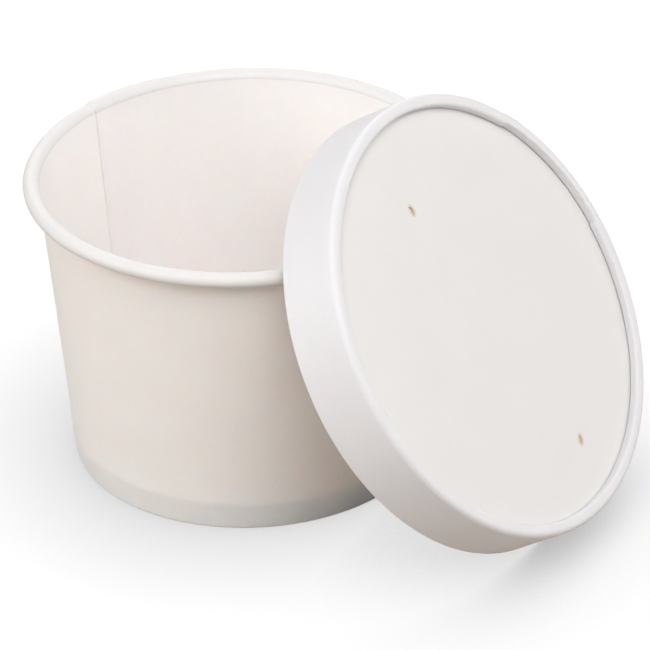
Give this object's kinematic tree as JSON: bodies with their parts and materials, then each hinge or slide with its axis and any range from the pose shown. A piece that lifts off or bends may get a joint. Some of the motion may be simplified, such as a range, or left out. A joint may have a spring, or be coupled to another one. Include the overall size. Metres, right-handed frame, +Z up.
{
  "type": "takeaway soup container with lid",
  "caption": "Round tapered board cup with a rolled rim, standing open and empty, with its round vented lid leaning against the rim.",
  "frame": {"origin": "on the table, under the middle of the whole: cup and leaning lid together", "axes": "+Z up along the cup's axis; -Y towards the viewer; the lid leans on the cup's +X, -Y side"},
  "size_m": [0.1258, 0.1188, 0.0843],
  "materials": {
    "cup_board": "smooth coated white board, satin inside and nearly matte outside",
    "bottom_board": "smooth coated white board, satin",
    "ring_board": "smooth coated cool white board, nearly matte",
    "disc_board": "smooth coated warm white board, nearly matte"
  },
  "bodies": {
    "root": {"cup_wall": "cup_board", "cup_bottom": "bottom_board", "lid_ring": "ring_board", "lid_disc": "disc_board"}
  },
  "joints": []
}
